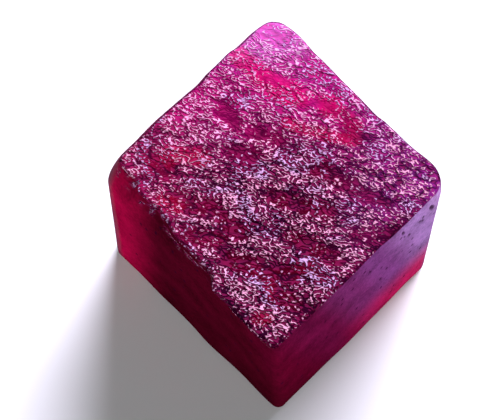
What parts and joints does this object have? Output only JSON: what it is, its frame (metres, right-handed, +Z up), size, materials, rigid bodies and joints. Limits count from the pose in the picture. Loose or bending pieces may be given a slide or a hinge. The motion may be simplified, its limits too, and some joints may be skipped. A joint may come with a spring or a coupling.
{
  "type": "red beryl crystal",
  "caption": "Near-cubic block of deep magenta-red translucent beryl, one crystal, with frosted worn sides and a rough wrinkled natural top; it rests on its flat base.",
  "frame": {"origin": "the middle of the block's box, at its bottom, on the resting face", "axes": "+Z up through the rough top; the four walls stand about square to X and Y, and the rough top's chipped edge is on the -Y side"},
  "size_m": [0.0218, 0.0208, 0.0206],
  "materials": {
    "beryl": "translucent magenta-red beryl: glossy etched skin on top, frosted sawn walls, pinker at thin corners"
  },
  "bodies": {
    "root": {"crystal": "beryl"}
  },
  "joints": []
}
